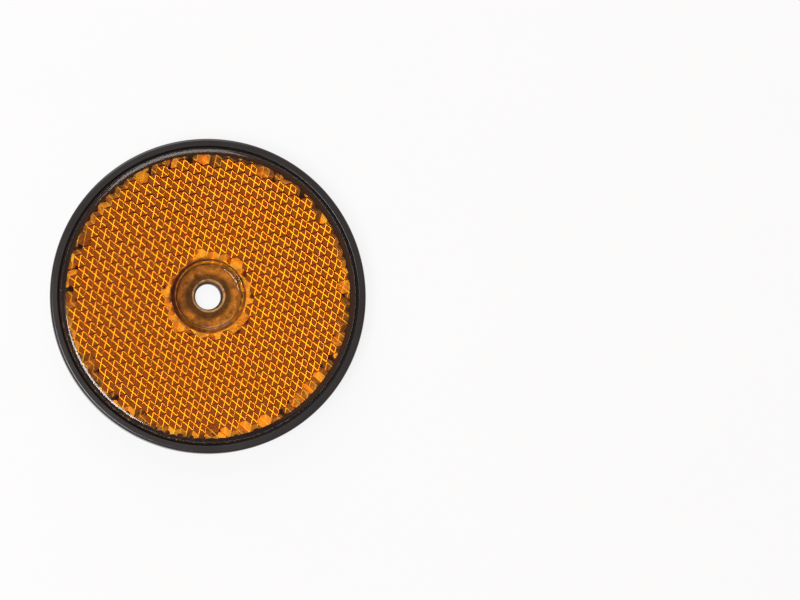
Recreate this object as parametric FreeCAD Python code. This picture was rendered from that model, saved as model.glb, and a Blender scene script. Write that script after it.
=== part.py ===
"""Round screw-on reflector: an amber prism lens welded into a black dished base.

The reflector lies on its back: the rear face is in the plane z = 0, its axis is +Z and the lens
looks up. All sizes are in millimetres and angles in degrees.
"""
import FreeCAD, Part
import math
import os
from FreeCAD import Vector

# Base
BASE_DIAMETER = 70.0
BASE_FLOOR = 2.0
SCREW_HOLE_DIAMETER = 5.7
RIM_WALL = 1.7
RIM_SETBACK = 0.9
RIM_OUTER_ROUND = 0.6
RIM_INNER_ROUND = 0.2
FOOT_ROUND = 0.3

# Lens
LENS_GAP = 0.3
LENS_SHOULDER = 1.5
LENS_PLATE = 2.2
SKIRT_WALL = 1.5
RECESS_DIAMETER = 14.9
RECESS_DEPTH = 2.0
RECESS_EDGE_ROUND = 0.25
RECESS_FLOOR_ROUND = 0.8
HUB_WALL = 0.8
LENS_HOLE_CLEARANCE = 0.35
LENS_HOLE_ROUND = 0.5

# Cube-corner prisms: pitch is from tip to tip, turn is that of a row of tips from +X
PRISM_PITCH = 2.714
PRISM_TURN = -12.4
PRISM_OFFSET_X = 2.684
PRISM_OFFSET_Y = -2.357
PRISM_CLEARANCE = 0.4

# Derived radii and heights
base_radius = BASE_DIAMETER / 2.0
screw_hole_radius = SCREW_HOLE_DIAMETER / 2.0
rim_inner_radius = base_radius - RIM_WALL
lens_radius = rim_inner_radius - LENS_GAP
field_outer_radius = lens_radius - SKIRT_WALL
recess_radius = RECESS_DIAMETER / 2.0
field_inner_radius = recess_radius + HUB_WALL
lens_hole_radius = screw_hole_radius + LENS_HOLE_CLEARANCE

# A cube seen along its diagonal: edges of one hexagon side in plan, three steps of height
hexagon_side = PRISM_PITCH / math.sqrt(3.0)
cube_step = PRISM_PITCH / math.sqrt(6.0)
tip_z = BASE_FLOOR + PRISM_CLEARANCE
mid_z = tip_z + cube_step
pit_z = tip_z + 2.0 * cube_step
lens_front_z = pit_z + LENS_PLATE
rim_top_z = lens_front_z - RIM_SETBACK
recess_floor_z = lens_front_z - RECESS_DEPTH


def rounded_face(corners):
    """Closed face in the XZ plane through (radius, height, rounding) corners, each round an arc."""
    count = len(corners)
    starts = []
    ends = []
    middles = []
    for i in range(count):
        here = Vector(corners[i][0], 0, corners[i][1])
        before = Vector(corners[i - 1][0], 0, corners[i - 1][1]) - here
        after = Vector(corners[(i + 1) % count][0], 0, corners[(i + 1) % count][1]) - here
        before.normalize()
        after.normalize()
        rounding = corners[i][2]
        half = before.getAngle(after) / 2.0
        run = rounding / math.tan(half)
        toward_centre = before + after
        toward_centre.normalize()
        starts.append(here + before * run)
        ends.append(here + after * run)
        middles.append(here + toward_centre * (rounding / math.sin(half) - rounding))
    edges = []
    for i in range(count):
        if corners[i][2] > 0:
            edges.append(Part.Arc(starts[i], middles[i], ends[i]).toShape())
        following = starts[(i + 1) % count]
        edges.append(Part.LineSegment(ends[i], following).toShape())
    return Part.Face(Part.Wire(edges))


def turned(corners):
    """Solid of revolution about the axis +Z."""
    return rounded_face(corners).revolve(Vector(0, 0, 0), Vector(0, 0, 1), 360)


def lattice_point(column, row):
    """Plan position of a prism tip, counted from the tip beside the lattice offset."""
    turn = math.radians(PRISM_TURN)
    slant = turn + math.radians(60.0)
    # The offset is that of a star point, where six edges meet, one hexagon side from a tip
    tip_turn = turn - math.radians(30.0)
    x = PRISM_OFFSET_X - hexagon_side * math.cos(tip_turn)
    y = PRISM_OFFSET_Y - hexagon_side * math.sin(tip_turn)
    x += PRISM_PITCH * (column * math.cos(turn) + row * math.cos(slant))
    y += PRISM_PITCH * (column * math.sin(turn) + row * math.sin(slant))
    return x, y


def cells_over_field():
    """Lattice indices of every hexagonal cell that reaches into the prism field."""
    offset = math.hypot(PRISM_OFFSET_X, PRISM_OFFSET_Y)
    reach = int((field_outer_radius + offset) / (PRISM_PITCH * math.sqrt(0.75))) + 3
    cells = set()
    for column in range(-reach, reach + 1):
        for row in range(-reach, reach + 1):
            distance = math.hypot(*lattice_point(column, row))
            outside = distance > field_outer_radius + 1.1 * hexagon_side
            inside = distance < field_inner_radius - 1.1 * hexagon_side
            if not outside and not inside:
                cells.add((column, row))
    return cells


def space_behind_prisms():
    """Air under the prism field: its roof is three rhombic cube faces for each hexagonal cell."""
    cells = cells_over_field()
    below_z = -BASE_FLOOR
    neighbours = ((1, 0), (0, 1), (-1, 1), (-1, 0), (0, -1), (1, -1))
    faces = []
    for column, row in cells:
        x, y = lattice_point(column, row)
        tip = Vector(x, y, tip_z)
        ring = []
        for k in range(6):
            turn = math.radians(PRISM_TURN - 30.0 + 60.0 * k)
            z = mid_z if k % 2 == 0 else pit_z
            ring.append(Vector(x + hexagon_side * math.cos(turn), y + hexagon_side * math.sin(turn), z))
        for k in (0, 2, 4):
            rhombus = [tip, ring[k], ring[k + 1], ring[(k + 2) % 6], tip]
            faces.append(Part.Face(Part.makePolygon(rhombus)))
        foot = [Vector(v.x, v.y, below_z) for v in ring]
        faces.append(Part.Face(Part.makePolygon(foot + foot[:1])))
        # A side of the cell with no cell beyond it is closed by an upright wall
        for k in range(6):
            step = neighbours[k]
            if (column + step[0], row + step[1]) not in cells:
                n = (k + 1) % 6
                wall = [ring[k], ring[n], foot[n], foot[k], ring[k]]
                faces.append(Part.Face(Part.makePolygon(wall)))
    block = Part.Solid(Part.Shell(faces))
    low = Vector(0, 0, below_z / 2.0)
    height = lens_front_z
    field = Part.makeCylinder(field_outer_radius, height, low)
    field = field.cut(Part.makeCylinder(field_inner_radius, height, low))
    return block.common(field)


def make_lens():
    """Amber lens: flat front, rounded shoulder, skirt, recessed hub and the prism field behind."""
    corners = [
        (lens_hole_radius, BASE_FLOOR, 0),
        (lens_radius, BASE_FLOOR, 0),
        (lens_radius, lens_front_z, LENS_SHOULDER),
        (recess_radius, lens_front_z, RECESS_EDGE_ROUND),
        (recess_radius, recess_floor_z, RECESS_FLOOR_ROUND),
        (lens_hole_radius, recess_floor_z, LENS_HOLE_ROUND),
    ]
    return turned(corners).cut(space_behind_prisms())


def make_base():
    """Black base: a dish whose floor carries the lens, with a rim around it and a screw hole."""
    corners = [
        (screw_hole_radius, 0, 0),
        (base_radius, 0, FOOT_ROUND),
        (base_radius, rim_top_z, RIM_OUTER_ROUND),
        (rim_inner_radius, rim_top_z, RIM_INNER_ROUND),
        (rim_inner_radius, BASE_FLOOR, 0),
        (screw_hole_radius, BASE_FLOOR, 0),
    ]
    return turned(corners)


os.makedirs("parts", exist_ok=True)
make_lens().exportStep("parts/lens.step")
make_base().exportStep("parts/base.step")
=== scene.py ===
import math

import bpy
import numpy as np
from bpy.props import FloatProperty, FloatVectorProperty, PointerProperty
from mathutils import Matrix, Vector


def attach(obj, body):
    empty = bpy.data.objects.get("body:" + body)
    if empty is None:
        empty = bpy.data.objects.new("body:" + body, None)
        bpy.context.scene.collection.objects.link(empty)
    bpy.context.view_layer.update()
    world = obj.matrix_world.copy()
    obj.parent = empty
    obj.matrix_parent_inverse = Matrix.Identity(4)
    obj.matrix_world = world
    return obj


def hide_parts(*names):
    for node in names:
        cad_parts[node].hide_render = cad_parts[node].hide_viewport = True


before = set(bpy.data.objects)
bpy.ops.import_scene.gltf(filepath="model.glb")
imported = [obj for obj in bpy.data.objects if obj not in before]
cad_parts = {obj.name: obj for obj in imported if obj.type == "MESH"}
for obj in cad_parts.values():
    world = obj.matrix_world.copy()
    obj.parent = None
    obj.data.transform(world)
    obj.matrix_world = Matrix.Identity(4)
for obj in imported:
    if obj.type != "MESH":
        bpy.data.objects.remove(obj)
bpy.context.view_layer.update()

bl_info = {
    "name": "Round Reflector",
    "version": (1, 0, 0),
    "blender": (4, 5, 0),
    "location": "View3D > Sidebar > Reflector",
    "description": "Amber prism lens, black base and stage of a round screw-on reflector",
    "category": "Object",
}

# Prism faces that a border cuts: seed of their random paleness, powers that favour dark faces at the
# skirt and pale ones at the hub, and which of the three edge directions go on there as pale lines:
# painted glints, like those that the light draws along the rest of the field
PATCH_SEED = 5
SKIRT_POWER = 4.0
HUB_POWER = 0.5
PAINTED_GLINT_EDGES = (True, True, False)

# How far a cell may lie beyond a border and still be made, in hexagon sides
CELL_MARGIN = 1.1

# Steps of the shoulder's arc, of every smaller rounding and of the base's circles
SHOULDER_STEPS = 12
ROUND_STEPS = 8
BASE_STEPS = 240

# A corner this near to a wall, in metres, lies on it
NEAR = 1e-6

# Decimals of a metre by which points are told apart, along a cut and in a mesh
LOOP_DECIMALS = 9
WELD_DECIMALS = 8

# Length of a mask's ramp in metres: a sharp border and a soft one
SHARP_RAMP = 0.00001
SOFT_RAMP = 0.0002

# Stage: sensor width in millimetres, where camera and lights aim, and the floor, in metres
SENSOR_WIDTH = 36.0
CAMERA_TARGET = (0.0, 0.0, 0.003)
LIGHT_TARGET = (0.0, 0.0, 0.004)
FLOOR_HALF = 1.5
FLOOR_DROP = 0.00005

# Share of plain white in the floor as it is seen directly, through the lens or in a mirror
FLOOR_WHITE = 0.85


def length(name, description, default):
    """Property for a length in metres."""
    return FloatProperty(
        name=name,
        description=description,
        default=default,
        unit="LENGTH",
        subtype="DISTANCE",
        precision=5,
    )


def angle(name, description, degrees):
    """Property for an angle, given in degrees and stored in radians."""
    return FloatProperty(
        name=name,
        description=description,
        default=math.radians(degrees),
        unit="ROTATION",
        subtype="ANGLE",
    )


def paleness(name, where, default):
    """Property for the paleness of a matte face: 0 is dark, 1 is orange and 2 is yellow."""
    return FloatProperty(
        name=name,
        description="Paleness " + where,
        default=default,
        subtype="FACTOR",
        min=0.0,
        max=2.0,
    )


def colour(name, description, default):
    """Property for a linear colour."""
    return FloatVectorProperty(
        name=name,
        description=description,
        default=default,
        subtype="COLOR",
        size=3,
        min=0.0,
        max=1.0,
    )


class ReflectorLensSettings(bpy.types.PropertyGroup):
    """Sizes, paleness and colours of the amber lens."""

    foot: length("Foot height", "Height of the lens's foot over the rear face", 0.00202)
    front: length("Front height", "Height of the lens's flat front over the rear face", 0.0068159)
    radius: length("Radius", "Outer radius of the lens", 0.0330)
    shoulder: length("Shoulder", "Rounding of the front's outer edge", 0.0015)
    field_outer: length("Field outer radius", "Where the prisms end at the skirt", 0.0315)
    field_inner: length("Field inner radius", "Where the prisms end at the hub", 0.00825)
    recess: length("Recess radius", "Radius of the screw-head recess", 0.00745)
    recess_height: length("Recess floor", "Height of the recess's floor over the rear face", 0.004816)
    recess_edge: length("Recess edge", "Rounding of the recess's front edge", 0.00025)
    recess_corner: length("Recess corner", "Rounding where the recess's wall meets its floor", 0.0008)
    hole: length("Hole radius", "Radius of the hole through the hub", 0.0032)
    hole_edge: length("Hole edge", "Rounding of the hole's front edge", 0.0005)
    tip: length("Tip height", "Height of the prism tips over the rear face", 0.0024)
    pitch: length("Prism pitch", "Distance from one prism tip to the next", 0.002714)
    turn: angle("Prism turn", "Direction of a row of prism tips", -12.4)
    star_x: length("Star X", "Place along X of one point where six prism edges meet", 0.002684)
    star_y: length("Star Y", "Place along Y of that point", -0.002357)
    edge: length("Edge width", "How far from each prism edge its faces begin to ease", 0.000072)
    ease: FloatProperty(
        name="Ease",
        description="How far the faces ease at a prism edge, from 0, flat, to 1, level",
        default=0.1,
        subtype="FACTOR",
        min=0.0,
        max=1.0,
    )
    hub_matte: paleness("Hub wall", "of the hub's wall behind the prisms", 0.9)
    inner_dark: paleness("Hub border, darkest", "of the darkest prism face cut by the hub", 0.85)
    inner_pale: paleness("Hub border, palest", "of the palest prism face cut by the hub", 1.4)
    outer_dark: paleness("Skirt border, darkest", "of the darkest prism face cut by the skirt", 0.25)
    outer_pale: paleness("Skirt border, palest", "of the palest prism face cut by the skirt", 1.9)
    # Paleness of the painted glints along the edges of the cut faces
    painted_glint_matte: paleness("Border lines", "of the edges of the prism faces cut by a border", 1.9)
    # Below this height the outer side carries painted shade, dark in the crevice by the rim
    side: length("Side height", "Up to where the lens's outer side is matte", 0.0061)
    # Within this distance the pocket's corner carries painted shade
    corner: length("Dark corner", "How far in from the skirt the pocket's corner is dark", 0.0007)
    dark_foot: length("Dark foot radius", "How far from the axis the hub's matte foot is dark", 0.0047)
    pale_foot: length("Pale foot radius", "Where the hub's matte foot is pale", 0.0056)
    foot_matte: paleness("Hub foot", "of the hub's foot", 0.32)
    dark_matte: paleness("Dark ring", "of the dark ring in the hub's foot", 0.055)
    # Nearly dark: a dark joint at the skirt's foot, and painted shade by the rim and in the pocket's
    # corner
    weld_and_shade_matte: paleness("Skirt", "of the skirt's foot, its inner wall and its outer side", 0.008)
    # The hole's edge is made matte and pale: a painted sheen on its rounding
    hole_sheen_matte: paleness("Hole edge", "of the edge of the hole", 0.43)
    amber: colour("Amber", "Colour of the light that comes through the lens", (0.975, 0.77, 0.0))
    clear: colour("Clear surface", "Tint of the polished surface at its clearest", (1.0, 0.985, 0.95))
    hazy: colour("Hazy surface", "Tint of the polished surface at its haziest", (0.985, 0.95, 0.88))
    dark: colour("Dark matte", "Matte acrylic of paleness 0", (0.04, 0.028, 0.021))
    orange: colour("Orange matte", "Matte acrylic of paleness 1", (0.93, 0.53, 0.2))
    yellow: colour("Yellow matte", "Matte acrylic of paleness 2", (0.98, 0.9, 0.3))


class ReflectorBaseSettings(bpy.types.PropertyGroup):
    """Sizes and colours of the black base."""

    radius: length("Radius", "Outer radius of the base", 0.035)
    floor: length("Floor height", "Height of the dish's floor over the rear face", 0.002)
    hole: length("Hole radius", "Radius of the screw hole", 0.00285)
    rim: length("Rim radius", "Radius of the rim's inside", 0.0333)
    rim_top: length("Rim height", "Height of the rim over the rear face", 0.0059159)
    rim_outer: length("Rim outer rounding", "Rounding of the rim's outer edge", 0.0006)
    rim_inner: length("Rim inner rounding", "Rounding of the rim's inner edge", 0.0002)
    rear: length("Rear rounding", "Rounding of the rear face's outer edge", 0.0003)
    black: colour("Black", "Plastic where it is least worn", (0.0205, 0.0198, 0.0198))
    worn: colour("Worn black", "Plastic where it is most worn", (0.031, 0.0302, 0.0302))


class ReflectorStageSettings(bpy.types.PropertyGroup):
    """Camera of the stage, and colours of its floor and surroundings."""

    azimuth: angle("Azimuth", "Side that the camera stands on", -37.0)
    elevation: angle("Elevation", "Height of the camera over the horizon", 84.5)
    focal: FloatProperty(
        name="Focal length",
        description="Focal length of the camera in millimetres",
        default=135.0,
        unit="CAMERA",
        subtype="DISTANCE_CAMERA",
    )
    distance: length("Distance", "From the camera to the reflector", 0.6685)
    place: FloatVectorProperty(
        name="Place",
        description="Where the reflector stands, in picture widths from the picture's middle",
        default=(-0.2397, 0.0045),
        size=2,
    )
    floor_dark: colour("Floor, darkest", "Darkest shade of the floor", (0.80, 0.80, 0.80))
    floor_pale: colour("Floor, palest", "Palest shade of the floor", (0.84, 0.84, 0.84))
    studio: colour("Studio", "Light from all around", (0.33, 0.24, 0.235))


class Wire:
    """A shader socket with arithmetic: each operation adds its Math nodes to the socket's tree."""

    def __init__(self, tree, socket):
        self.tree = tree
        self.socket = socket

    @classmethod
    def node(cls, tree, kind, inputs=(), output=0, **settings):
        """Adds a node, sets its properties, feeds its inputs by name or number and wraps one output."""
        made = tree.nodes.new(kind)
        for key, value in settings.items():
            setattr(made, key, value)
        for key, value in dict(inputs).items():
            if isinstance(value, Wire):
                tree.links.new(value.socket, made.inputs[key])
            else:
                made.inputs[key].default_value = value
        return cls(tree, made.outputs[output] if made.outputs else None)

    def math(self, operation, *others):
        """Adds a Math node whose inputs are this wire and the others, wires or numbers."""
        feeds = dict(enumerate((self,) + others))
        return Wire.node(self.tree, "ShaderNodeMath", feeds, operation=operation)

    def __add__(self, other):
        return self.math("ADD", other)

    def __sub__(self, other):
        return self.math("SUBTRACT", other)

    def __rsub__(self, other):
        return (self * -1.0).math("ADD", other)

    def __mul__(self, other):
        return self.math("MULTIPLY", other)

    __radd__ = __add__
    __rmul__ = __mul__

    def clamp(self):
        """Value held between 0 and 1."""
        return self.math("MAXIMUM", 0.0).math("MINIMUM", 1.0)

    def past(self, limit, ramp):
        """Mask that is 0 up to a limit and rises to 1 over the ramp's length beyond it."""
        return ((self - limit) * (1.0 / ramp)).clamp()

    def factor(self, gain):
        """Factor about 1 from noise about 0.5: 1 + gain (noise - 0.5)."""
        return self * gain + (1.0 - gain / 2.0)


def noise(tree, scale, detail=2.0):
    """Noise over object coordinates, about 0 to 1, its features about 1 / scale metres wide."""
    place = Wire.node(tree, "ShaderNodeTexCoord", output="Object")
    return Wire.node(tree, "ShaderNodeTexNoise", {"Vector": place, "Scale": scale, "Detail": detail})


def blend(tree, share, low, high):
    """Colour from low, which may be a wire, to high by a share of 0 to 1."""
    low = low if isinstance(low, Wire) else (*low, 1.0)
    colours = {"Factor": share, 6: low, 7: (*high, 1.0)}
    return Wire.node(tree, "ShaderNodeMix", colours, output=2, data_type="RGBA")


def new_material(name):
    """Material with an empty node tree; returns both."""
    material = bpy.data.materials.new(name)
    material.use_nodes = True
    material.node_tree.nodes.clear()
    return material, material.node_tree


def place_on_part(tree):
    """Distance of the shaded point from the reflector's axis, and its height over the rear face."""
    place = Wire.node(tree, "ShaderNodeTexCoord", output="Object")
    x, y, z = (Wire.node(tree, "ShaderNodeSeparateXYZ", {0: place}, output=i) for i in range(3))
    return (x * x + y * y).math("SQRT"), z


def amber_acrylic(s):
    """Polished clear acrylic that takes out blue and some green along the way through it.

    The shoulder has a thin, slightly dull coat, which softens its highlights.
    """
    material, tree = new_material("Amber Acrylic")
    haze = noise(tree, scale=220.0, detail=4.0)
    wear = noise(tree, scale=2600.0, detail=3.0)
    radius, height = place_on_part(tree)
    beyond_front = radius.past(s.radius - s.shoulder, SHARP_RAMP)
    above_side = height.past(s.front - s.shoulder, SHARP_RAMP)
    surface = Wire.node(
        tree,
        "ShaderNodeBsdfPrincipled",
        {
            "Base Color": blend(tree, haze, s.clear, s.hazy),
            "Roughness": haze * wear * 0.03,
            "IOR": 1.49,
            "Transmission Weight": 1.0,
            "Coat Weight": beyond_front * above_side * 0.6,
            "Coat Roughness": 0.15,
        },
    )
    body = Wire.node(tree, "ShaderNodeVolumeAbsorption", {"Color": (*s.amber, 1.0), "Density": 650.0})
    Wire.node(tree, "ShaderNodeOutputMaterial", {"Surface": surface, "Volume": body})
    return material


def matte_acrylic(s):
    """Unpolished acrylic that goes from dark to orange and yellow by its paleness, and is mottled.

    It is painted dark, as shade, where the distance in from the skirt and the height over the tips add
    up to little, in the corner of the pocket behind the prisms.
    """
    material, tree = new_material("Matte Amber Acrylic")
    grain = noise(tree, scale=2400.0, detail=3.0)
    blotch = noise(tree, scale=800.0, detail=2.0)
    cloud = noise(tree, scale=190.0, detail=1.0)
    radius, height = place_on_part(tree)
    # Painted shade in the pocket's corner behind the prisms
    from_corner = (s.field_outer - radius) + (height - s.tip)
    clear_of_painted_shade = from_corner.past(s.corner, SOFT_RAMP)
    pale = Wire.node(tree, "ShaderNodeAttribute", output="Fac", attribute_name="matte") * clear_of_painted_shade
    mottled = (pale * grain.factor(1.0) * blotch.factor(2.8) * cloud.factor(2.4)).clamp()
    orange = blend(tree, mottled, s.dark, s.orange)
    surface = Wire.node(
        tree,
        "ShaderNodeBsdfPrincipled",
        {
            "Base Color": blend(tree, (pale - 1.0).clamp(), orange, s.yellow),
            "Roughness": grain * 0.2 + 0.5,
            "Specular IOR Level": 0.0,
        },
    )
    Wire.node(tree, "ShaderNodeOutputMaterial", {"Surface": surface})
    return material


def black_plastic(s):
    """Black moulded plastic with a fine grain and slightly worn patches."""
    material, tree = new_material("Black Moulded Plastic")
    grain = noise(tree, scale=5200.0, detail=2.0)
    patches = noise(tree, scale=160.0, detail=5.0)
    bump = Wire.node(tree, "ShaderNodeBump", {"Height": grain, "Strength": 0.25, "Distance": 0.00006})
    surface = Wire.node(
        tree,
        "ShaderNodeBsdfPrincipled",
        {
            "Base Color": blend(tree, patches, s.black, s.worn),
            "Roughness": patches * 0.1 + 0.13,
            "Normal": bump,
        },
    )
    Wire.node(tree, "ShaderNodeOutputMaterial", {"Surface": surface})
    return material


def profile(corners, steps):
    """Rounded profile in the (radius, height) plane, as rows of radius, height and their normal.

    Each corner is (radius, height, rounding). A corner becomes steps + 1 points on the arc that is
    tangent to both its sides, all at the corner itself where the rounding is 0. The normal lies to
    the right of the direction of travel and turns evenly along each arc.
    """
    c = np.array(corners, float)
    way = np.diff(c[:, :2], axis=0)
    way /= np.linalg.norm(way, axis=1)[:, None]
    right = np.stack([way[:, 1], -way[:, 0]], 1)
    turn = np.arctan2(
        way[:-1, 0] * way[1:, 1] - way[:-1, 1] * way[1:, 0], (way[:-1] * way[1:]).sum(1)
    )
    rounding = c[1:-1, 2]
    side = np.sign(turn)[:, None]
    start = c[1:-1, :2] - way[:-1] * (rounding * np.tan(np.abs(turn) / 2))[:, None]
    centre = start - side * rounding[:, None] * right[:-1]
    a = turn[:, None] * np.linspace(0, 1, steps + 1)
    x, y = right[:-1, :1], right[:-1, 1:]
    normal = np.stack([x * np.cos(a) - y * np.sin(a), x * np.sin(a) + y * np.cos(a)], 2)
    point = centre[:, None] + (side * rounding[:, None])[:, None] * normal
    arcs = np.concatenate([point, normal], 2).reshape(-1, 4)
    first = np.r_[c[0, :2], right[0]]
    last = np.r_[c[-1, :2], right[-1]]
    return np.vstack([first, arcs, last])


def halved(quads):
    """Two triangles, of corners 0 1 2 and 0 2 3, from each quad of an array (..., 4, 3)."""
    return quads.reshape(-1, 4, 3)[:, [[0, 1, 2], [0, 2, 3]]].reshape(-1, 3, 3)


def strip(points, normals):
    """Triangles of a grid of points (rows, around, 3), closed around; returns corners and normals."""
    def triangles(grid):
        ahead = np.roll(grid, -1, axis=1)
        quad = np.stack([grid[:-1], ahead[:-1], ahead[1:], grid[1:]], 2)
        return halved(quad)

    return triangles(points), triangles(normals)


def turned(rows, around):
    """Surface of revolution: a profile's radius and height carried round +Z through the angles."""
    ray = np.stack([np.cos(around), np.sin(around)], 1)
    points = np.empty((len(rows), len(around), 3))
    normals = np.empty_like(points)
    points[..., :2] = rows[:, None, :1] * ray
    points[..., 2] = rows[:, None, 1]
    normals[..., :2] = rows[:, None, 2:3] * ray
    normals[..., 2] = rows[:, None, 3]
    return strip(points, normals)


def ring_wall(loop, height, sign):
    """Upright wall between a closed loop of points and the same loop at one height."""
    foot = loop.copy()
    foot[:, 2] = height
    out = loop * np.array([1.0, 1.0, 0.0])
    out *= sign / np.linalg.norm(out, axis=1)[:, None]
    return strip(np.stack([loop, foot]), np.stack([out, out]))


def flat_ring(outer, inner, radius_outer, radius_inner, height):
    """Flat ring that faces +Z between two circles with their own sorted angles, zipped by triangles.

    The edge from one outer angle to the next takes the last inner angle before its end as its third
    corner, and the other way round, so the triangles meet edge to edge.
    """
    def on(circle, index, radius):
        """Points of a circle at its angles with these indices, counted round."""
        a = circle[index % len(circle)]
        return np.stack([radius * np.cos(a), radius * np.sin(a), np.full(len(a), height)], 1)

    i = np.arange(len(outer))
    j = np.arange(len(inner))
    outer_next = np.r_[outer[1:], outer[0] + 2 * np.pi]
    inner_next = np.r_[inner[1:], inner[0] + 2 * np.pi]
    inner_long = np.r_[inner, inner + 2 * np.pi]
    outer_long = np.r_[outer, outer + 2 * np.pi]
    apex_in = np.searchsorted(inner_long, outer_next, "left") - 1
    apex_out = np.searchsorted(outer_long, inner_next, "right") - 1
    from_outer = (
        on(outer, i, radius_outer),
        on(outer, i + 1, radius_outer),
        on(inner, apex_in, radius_inner),
    )
    from_inner = (
        on(inner, j + 1, radius_inner),
        on(inner, j, radius_inner),
        on(outer, apex_out, radius_outer),
    )
    corners = np.concatenate([np.stack(from_outer, 1), np.stack(from_inner, 1)])
    return corners, np.broadcast_to([0.0, 0.0, 1.0], corners.shape)


def prism_tips(s, side, to_star):
    """Plan places of the tips of all cells that reach into the field.

    A tip lies one hexagon side from the star point, plus whole pitches along two rows of tips, one at
    the prisms' turn and one 60 degrees on.
    """
    row_gap = s.pitch * math.sqrt(0.75)
    reach = int((s.field_outer + s.pitch * 2) / row_gap) + 2
    count = np.arange(-reach, reach + 1)
    column, row = (index.ravel() for index in np.meshgrid(count, count))
    slant = s.turn + math.radians(60.0)
    first_x = s.star_x - side * math.cos(to_star)
    first_y = s.star_y - side * math.sin(to_star)
    x = first_x + s.pitch * (column * math.cos(s.turn) + row * math.cos(slant))
    y = first_y + s.pitch * (column * math.sin(s.turn) + row * math.sin(slant))
    distance = np.hypot(x, y)
    spare = CELL_MARGIN * side
    kept = (distance < s.field_outer + spare) & (distance > s.field_inner - spare)
    return np.stack([x, y], 1)[kept]


def border_paleness(s, points, band):
    """Paleness of each quad of the prism faces, 0 on every face that no border circle cuts.

    A cut face has a paleness of its own: the border's darkest plus a share of the way to its palest,
    the share being a random draw raised to the border's power. The quads along edges, which band
    marks, are painted glints: pale lines in two of the three directions, which carry on there the
    lines that the light draws on the rest of the field.
    """
    out = np.hypot(points[..., 0], points[..., 1])
    by_hub = out.min((2, 3)) < s.field_inner
    by_skirt = out.max((2, 3)) > s.field_outer
    draw = np.random.default_rng(PATCH_SEED).random(by_skirt.shape)
    at_skirt = s.outer_dark + (s.outer_pale - s.outer_dark) * draw**SKIRT_POWER
    at_hub = s.inner_dark + (s.inner_pale - s.inner_dark) * draw**HUB_POWER
    matte = np.where(by_skirt, at_skirt, np.where(by_hub, at_hub, 0.0))[..., None, None]
    along_a, along_b = np.array(PAINTED_GLINT_EDGES), np.roll(PAINTED_GLINT_EDGES, -1)
    # Painted glints: pale quads along the edges in two of the three directions
    lines = (band[:, None] & along_b[:, None, None]) | (band & along_a[:, None, None])
    return np.where(lines & (matte > 0), s.painted_glint_matte, matte)


def prism_field(s):
    """Rear of the lens: hexagonal cells of three square cube faces that meet at a tip.

    On each face a point is tip + u a + v b, where a and b run along two cube edges from the tip and u
    and v go from 0 to 1. The height is tip + (u + v) step, plus e m (w - t)^2 / (2 w) within the width
    w of a ridge and minus the same within w of a groove, where t is the distance to that edge, m the
    slope across it and e the ease, so each face bends a little before it ends in the sharp edge.
    """
    side = s.pitch / math.sqrt(3.0)
    step = s.pitch / math.sqrt(6.0)
    across = side * math.sqrt(0.75)
    slope = s.ease * math.sqrt(1.5)
    w = s.edge
    to_star = s.turn - math.radians(30.0)
    tips = prism_tips(s, side, to_star)

    share = w / across
    grid = np.array([0.0, 0.5 * share, share, 1 - share, 1 - 0.5 * share, 1.0])
    near = np.clip(w - grid * across, 0, None)
    far = np.clip(w - (1 - grid) * across, 0, None)
    lift = slope * (near**2 - far**2) / (2 * w)
    rise = step - slope * across * (near + far) / w
    angles = to_star + np.radians([0.0, 120.0, 240.0])
    a = side * np.stack([np.cos(angles), np.sin(angles)], 1)
    b = np.roll(a, -1, axis=0)
    u, v = np.meshgrid(grid, grid, indexing="ij")
    plan = a[:, None, None] * u[None, ..., None] + b[:, None, None] * v[None, ..., None]
    height = s.tip + (u + v) * step + lift[:, None] + lift[None, :]
    points = np.empty((len(tips), 3) + u.shape + (3,))
    points[..., :2] = tips[:, None, None, None] + plan[None]
    points[..., 2] = height
    along_u = np.empty((3,) + u.shape + (3,))
    along_v = np.empty_like(along_u)
    along_u[..., :2] = a[:, None, None]
    along_v[..., :2] = b[:, None, None]
    along_u[..., 2] = rise[:, None]
    along_v[..., 2] = rise[None, :]
    normal = np.cross(along_v, along_u)
    normal /= np.linalg.norm(normal, axis=-1)[..., None]
    normals = np.broadcast_to(normal, points.shape)

    def triangles(g):
        quad = np.stack([g[:, :, :-1, :-1], g[:, :, :-1, 1:], g[:, :, 1:, 1:], g[:, :, 1:, :-1]], 4)
        return halved(quad)

    band = grid[:-1] != share
    matte = border_paleness(s, points, band)
    return triangles(points), triangles(normals), np.repeat(matte.ravel(), 2)


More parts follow.
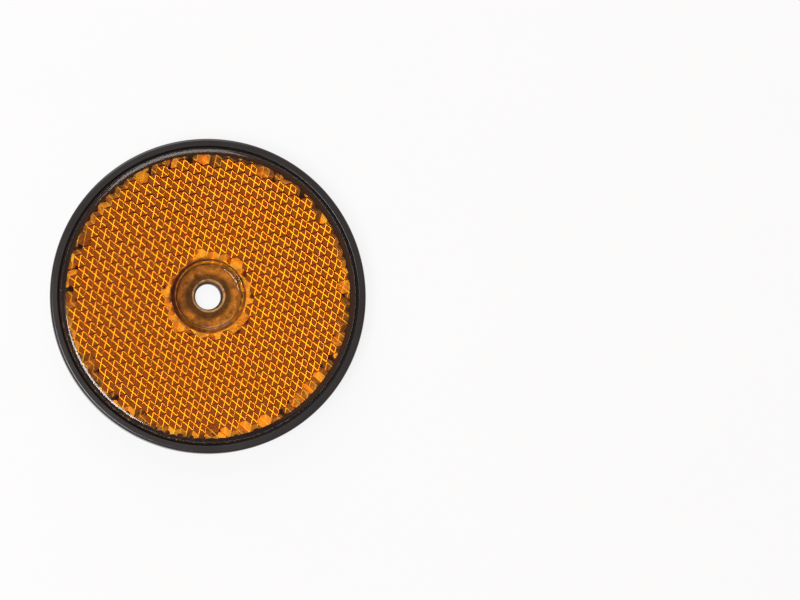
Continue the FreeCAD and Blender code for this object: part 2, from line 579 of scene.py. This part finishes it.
def clipped(corners, normals, matte, radius, keep):
    """Cuts triangles by an upright circle; keep is -1 for what lies inside it and 1 for outside.

    Returns the corners, normals and paleness of what is left, and the loop of points along the cut.
    A triangle with one corner left stays one triangle, and one with two corners left becomes two.
    """
    reach = keep * (np.hypot(corners[..., 0], corners[..., 1]) - radius)
    held = reach > 0
    count = held.sum(1)

    def turned_to(rows, first):
        """Corners and normals of these triangles, in the same sense but from another first corner."""
        take = ((first[:, None] + np.arange(3)) % 3)[..., None]
        return np.take_along_axis(corners[rows], take, 1), np.take_along_axis(normals[rows], take, 1)

    def cut(corner, normal, start, end):
        """Point where the edge from one corner to another crosses the circle, with the normal there."""
        p = corner[:, start]
        d = corner[:, end] - p
        aa = (d[:, :2] ** 2).sum(1)
        bb = (p[:, :2] * d[:, :2]).sum(1)
        cc = (p[:, :2] ** 2).sum(1) - radius**2
        root = np.sqrt(bb**2 - aa * cc)
        low = (-bb - root) / aa
        t = np.where((low > 0) & (low < 1), low, (-bb + root) / aa)[:, None]
        return p + t * d, normal[:, start] + t * (normal[:, end] - normal[:, start])

    whole = count == 3
    one = np.flatnonzero(count == 1)
    two = np.flatnonzero(count == 2)
    c1, n1 = turned_to(one, held[one].argmax(1))
    ab, nab = cut(c1, n1, 0, 1)
    ac, nac = cut(c1, n1, 0, 2)
    c2, n2 = turned_to(two, (~held[two]).argmax(1))
    ba, nba = cut(c2, n2, 1, 0)
    ca, nca = cut(c2, n2, 2, 0)
    parts = [
        (corners[whole], normals[whole]),
        (np.stack([c1[:, 0], ab, ac], 1), np.stack([n1[:, 0], nab, nac], 1)),
        (np.stack([ba, c2[:, 1], c2[:, 2]], 1), np.stack([nba, n2[:, 1], n2[:, 2]], 1)),
        (np.stack([ba, c2[:, 2], ca], 1), np.stack([nba, n2[:, 2], nca], 1)),
    ]
    edge = np.concatenate([ab, ac, ba, ca])
    finish = np.concatenate([matte[whole], matte[one], matte[two], matte[two]])
    corners, normals = (np.concatenate([p[i] for p in parts]) for i in (0, 1))
    return corners, normals, finish, sorted_loop(edge)


def sorted_loop(points):
    """Each different point once, in order of its angle about +Z."""
    _, first = np.unique(np.round(points, LOOP_DECIMALS), axis=0, return_index=True)
    points = points[first]
    return points[np.argsort(angles_of(points))]


def angles_of(loop):
    """Angles of points about +Z, from +X."""
    return np.arctan2(loop[:, 1], loop[:, 0])


def mesh_object(name, pieces, materials):
    """Welds triangles given by their corners and corner normals into one closed mesh object.

    A piece's third array, if it has one, is the paleness of each triangle or of each of its corners.
    Triangles whose paleness is over 0 take the second, matte material, which reads it.
    """
    corners = np.concatenate([p[0] for p in pieces])
    normals = np.concatenate([p[1] for p in pieces])
    matte = [p[2].reshape(len(p[0]), -1) if len(p) > 2 else np.zeros((len(p[0]), 1)) for p in pieces]
    matte = np.concatenate([np.broadcast_to(m, (len(m), 3)) for m in matte])
    points = corners.reshape(-1, 3)
    _, first, index = np.unique(
        np.round(points, WELD_DECIMALS), axis=0, return_index=True, return_inverse=True
    )
    points = points[first]
    faces = index.reshape(-1, 3)
    solid = (faces != np.roll(faces, 1, axis=1)).all(1)
    faces, normals, matte = faces[solid], normals[solid], matte[solid]
    edges = np.sort(np.concatenate([faces[:, [0, 1]], faces[:, [1, 2]], faces[:, [2, 0]]]), axis=1)
    _, uses = np.unique(edges, axis=0, return_counts=True)
    if (uses != 2).any():
        raise RuntimeError(f"{name} isn't closed: {(uses != 2).sum()} of {len(uses)} edges")
    mesh = bpy.data.meshes.new(name)
    mesh.vertices.add(len(points))
    mesh.vertices.foreach_set("co", points.ravel())
    mesh.loops.add(faces.size)
    mesh.loops.foreach_set("vertex_index", faces.ravel().astype(np.int32))
    mesh.polygons.add(len(faces))
    mesh.polygons.foreach_set("loop_start", np.arange(0, faces.size, 3, dtype=np.int32))
    mesh.update(calc_edges=True)
    mesh.normals_split_custom_set(normals.reshape(-1, 3))
    for material in materials:
        mesh.materials.append(material)
    mesh.polygons.foreach_set("material_index", (matte > 0).all(1).astype(np.int32))
    pale = mesh.attributes.new("matte", "FLOAT", "CORNER")
    pale.data.foreach_set("value", matte.ravel().astype(np.float32))
    obj = bpy.data.objects.new(name, mesh)
    bpy.context.scene.collection.objects.link(obj)
    return obj


class ReflectorAddLens(bpy.types.Operator):
    """Builds the amber lens in place of the plain one"""

    bl_idname = "reflector.add_lens"
    bl_label = "Add Lens"

    @staticmethod
    def finished(s, corners, normals):
        """Adds each corner's paleness.

        Matte are the feet, the hole's edge, the low part of the outer side and the pocket's walls. The
        matte hole edge is a painted sheen. The skirt's foot, the low part of the outer side and the
        pocket's outer wall are nearly dark: partly a dark joint against the black base, partly painted
        shade in the crevice by the rim and in the pocket's corner.
        """
        radius = np.hypot(corners[..., 0], corners[..., 1])
        height = corners[..., 2]
        foot = np.interp(
            radius,
            [s.dark_foot, s.pale_foot, s.field_inner + NEAR, s.field_outer - NEAR],
            [s.dark_matte, s.foot_matte, s.foot_matte, s.weld_and_shade_matte],
        )
        on_foot = (height < s.foot + NEAR).all(1)
        on_hub = (np.abs(radius - s.field_inner) < NEAR).all(1)
        on_skirt = (np.abs(radius - s.field_outer) < NEAR).all(1)
        on_side = ((height < s.side) & (radius > (s.field_outer + s.radius) / 2)).all(1)
        in_hole = radius < s.hole + s.hole_edge + NEAR
        on_edge = (in_hole & (height > s.recess_height - s.hole_edge - NEAR)).all(1)
        # Painted sheen: the hole's rounded edge made matte and pale
        matte = np.where(on_edge[:, None], s.hole_sheen_matte, 0.0)
        matte = np.where(on_hub[:, None], s.hub_matte, matte)
        # Painted shade on the pocket's outer wall and the low outer side, and the dark joint at the
        # foot
        matte = np.where((on_skirt | on_side)[:, None], s.weld_and_shade_matte, matte)
        return corners, normals, np.where(on_foot[:, None], foot, matte)

    def execute(self, context):
        s = context.scene.reflector_lens
        corners, normals, matte = prism_field(s)
        corners, normals, matte, outer = clipped(corners, normals, matte, s.field_outer, -1)
        corners, normals, matte, inner = clipped(corners, normals, matte, s.field_inner, 1)
        around, about = angles_of(outer), angles_of(inner)
        front_outer = s.radius - s.shoulder
        front_inner = s.recess + s.recess_edge * 2
        skirt = profile(
            [
                (s.field_outer, s.foot, 0),
                (s.radius, s.foot, 0),
                (s.radius, s.front, s.shoulder),
                (front_outer, s.front, 0),
            ],
            SHOULDER_STEPS,
        )
        hub = profile(
            [
                (front_inner, s.front, 0),
                (s.recess, s.front, s.recess_edge),
                (s.recess, s.recess_height, s.recess_corner),
                (s.hole, s.recess_height, s.hole_edge),
                (s.hole, s.foot, 0),
                (s.dark_foot, s.foot, 0),
                (s.pale_foot, s.foot, 0),
                (s.field_inner, s.foot, 0),
            ],
            ROUND_STEPS,
        )
        pieces = [
            (corners, normals, matte),
            self.finished(s, *ring_wall(outer, s.foot, -1.0)),
            self.finished(s, *turned(skirt, around)),
            flat_ring(around, about, front_outer, front_inner, s.front),
            self.finished(s, *turned(hub, about)),
            self.finished(s, *ring_wall(inner, s.foot, 1.0)),
        ]
        lens = mesh_object("Lens", pieces, (amber_acrylic(s), matte_acrylic(s)))
        # The clear lens casts no shadow, so the lamps light what lies behind it
        lens.visible_shadow = False
        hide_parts("lens")
        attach(lens, "root")
        return {"FINISHED"}


class ReflectorAddBase(bpy.types.Operator):
    """Builds the black base in place of the faceted one"""

    bl_idname = "reflector.add_base"
    bl_label = "Add Base"

    def execute(self, context):
        s = context.scene.reflector_base
        dish = profile(
            [
                (s.hole, 0, 0),
                (s.radius, 0, s.rear),
                (s.radius, s.rim_top, s.rim_outer),
                (s.rim, s.rim_top, s.rim_inner),
                (s.rim, s.floor, 0),
                (s.hole, s.floor, 0),
                (s.hole, 0, 0),
            ],
            ROUND_STEPS,
        )
        around = np.linspace(0, 2 * np.pi, BASE_STEPS, endpoint=False)
        base = mesh_object("Base", [turned(dish, around)], (black_plastic(s),))
        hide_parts("base")
        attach(base, "root")
        return {"FINISHED"}


def direction(azimuth, elevation):
    """Unit vector at two angles in radians: azimuth 0 is -Y, and a quarter turn is +X."""
    level = math.cos(elevation)
    return Vector((math.sin(azimuth) * level, -math.cos(azimuth) * level, math.sin(elevation)))


def soft_light(name, azimuth, elevation, reach, shape, size, watts):
    """Area light on a sphere about the reflector that points at its middle, its angles in degrees."""
    data = bpy.data.lights.new(name, "AREA")
    data.shape = shape
    data.size, data.size_y = size
    data.energy = watts
    light = bpy.data.objects.new(name, data)
    out = direction(math.radians(azimuth), math.radians(elevation))
    light.location = Vector(LIGHT_TARGET) + out * reach
    light.rotation_euler = out.to_track_quat("Z", "Y").to_euler()
    bpy.context.scene.collection.objects.link(light)
    return light


def stage_floor(s):
    """Wide pale floor: nearly white where it is seen, with a little of the reflector's shadow kept."""
    material, tree = new_material("Pale Floor")
    rays = ("Is Camera Ray", "Is Transmission Ray", "Is Glossy Ray")
    seen, through, mirrored = (Wire.node(tree, "ShaderNodeLightPath", output=ray) for ray in rays)
    share = (seen + through + mirrored).clamp() * FLOOR_WHITE
    shade = blend(tree, noise(tree, scale=30.0), s.floor_dark, s.floor_pale)
    matte = Wire.node(tree, "ShaderNodeBsdfDiffuse", {"Color": shade})
    white = Wire.node(tree, "ShaderNodeEmission", {"Color": (1.0, 1.0, 1.0, 1.0), "Strength": 1.0})
    mixed = Wire.node(tree, "ShaderNodeMixShader", {0: share, 1: matte, 2: white})
    Wire.node(tree, "ShaderNodeOutputMaterial", {"Surface": mixed})
    half = FLOOR_HALF
    corners = [(-half, -half, 0), (half, -half, 0), (half, half, 0), (-half, half, 0)]
    mesh = bpy.data.meshes.new("Floor")
    mesh.from_pydata(corners, [], [(0, 1, 2, 3)])
    mesh.materials.append(material)
    floor = bpy.data.objects.new("Floor", mesh)
    floor.location.z = -FLOOR_DROP
    bpy.context.scene.collection.objects.link(floor)
    return floor


def stage_camera(s):
    """Camera that looks down on the reflector from its azimuth and elevation, +Y up in the picture."""
    data = bpy.data.cameras.new("Camera")
    data.lens = s.focal
    data.sensor_width = SENSOR_WIDTH
    data.clip_start = 0.01
    data.clip_end = 20.0
    camera = bpy.data.objects.new("Camera", data)
    back = direction(s.azimuth, s.elevation)
    right = Vector((0.0, 1.0, 0.0)).cross(back).normalized()
    up = back.cross(right)
    level = Matrix((right, up, back)).transposed()
    toward = Vector((s.place[0] * SENSOR_WIDTH, s.place[1] * SENSOR_WIDTH, -s.focal)).normalized()
    swing = toward.rotation_difference(Vector((0.0, 0.0, -1.0))).to_matrix()
    place = Vector(CAMERA_TARGET) + back * s.distance
    camera.matrix_world = Matrix.Translation(place) @ (level @ swing).to_4x4()
    bpy.context.scene.collection.objects.link(camera)
    return camera


class ReflectorAddStage(bpy.types.Operator):
    """Adds the pale floor, the soft lights and the camera"""

    bl_idname = "reflector.add_stage"
    bl_label = "Add Stage"

    def execute(self, context):
        scene = context.scene
        s = scene.reflector_stage
        lights = [
            soft_light(
                "Key",
                azimuth=-58.0,
                elevation=66.0,
                reach=0.9,
                shape="ELLIPSE",
                size=(0.42, 0.52),
                watts=4.9,
            ),
            soft_light(
                "Fill",
                azimuth=-168.0,
                elevation=30.0,
                reach=1.1,
                shape="RECTANGLE",
                size=(0.9, 1.0),
                watts=6.8,
            ),
        ]
        floor = stage_floor(s)
        camera = stage_camera(s)
        world = bpy.data.worlds.new("Studio")
        world.use_nodes = True
        background = world.node_tree.nodes["Background"].inputs
        background["Color"].default_value = (*s.studio, 1.0)
        background["Strength"].default_value = 1.0
        scene.world = world
        scene.camera = camera
        scene.view_settings.view_transform = "Standard"
        return {"FINISHED"}


class ReflectorPanel(bpy.types.Panel):
    """Sizes and buttons of the reflector"""

    bl_idname = "VIEW3D_PT_reflector"
    bl_label = "Reflector"
    bl_space_type = "VIEW_3D"
    bl_region_type = "UI"
    bl_category = "Reflector"

    def draw(self, context):
        scene = context.scene
        for group in (scene.reflector_lens, scene.reflector_base, scene.reflector_stage):
            box = self.layout.box()
            for key in group.__annotations__:
                box.prop(group, key)
        for step in STEPS:
            self.layout.operator(step.bl_idname)


STEPS = (ReflectorAddLens, ReflectorAddBase, ReflectorAddStage)
GROUPS = (ReflectorLensSettings, ReflectorBaseSettings, ReflectorStageSettings)
CLASSES = GROUPS + (ReflectorPanel,) + STEPS


def register():
    for cls in CLASSES:
        bpy.utils.register_class(cls)
    bpy.types.Scene.reflector_lens = PointerProperty(type=ReflectorLensSettings)
    bpy.types.Scene.reflector_base = PointerProperty(type=ReflectorBaseSettings)
    bpy.types.Scene.reflector_stage = PointerProperty(type=ReflectorStageSettings)


def unregister():
    del bpy.types.Scene.reflector_stage
    del bpy.types.Scene.reflector_base
    del bpy.types.Scene.reflector_lens
    for cls in reversed(CLASSES):
        bpy.utils.unregister_class(cls)


def main():
    register()
    bpy.ops.reflector.add_lens()
    bpy.ops.reflector.add_base()
    bpy.ops.reflector.add_stage()


if __name__ == "__main__":
    main()
